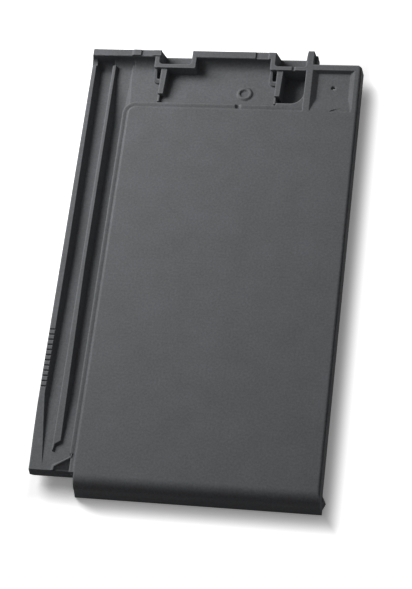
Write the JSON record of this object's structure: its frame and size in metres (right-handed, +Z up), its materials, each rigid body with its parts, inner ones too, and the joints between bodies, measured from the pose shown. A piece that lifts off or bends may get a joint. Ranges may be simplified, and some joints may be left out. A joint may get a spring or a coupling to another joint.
{
  "type": "interlocking roof tile",
  "caption": "Flat interlocking clay roof tile with a plain face, turned-down nose, side and head locks, nibs and a nail hole.",
  "frame": {"origin": "on the ground under the middle of the tile's outline", "axes": "+Z up out of the face, +Y from the nose to the head, +X from the open side lock to the covering edge"},
  "size_m": [0.2838, 0.4736, 0.0315],
  "materials": {
    "engobe": "matt slate-grey engobe on fired clay"
  },
  "bodies": {
    "root": {"roof_tile": "engobe"}
  },
  "joints": []
}
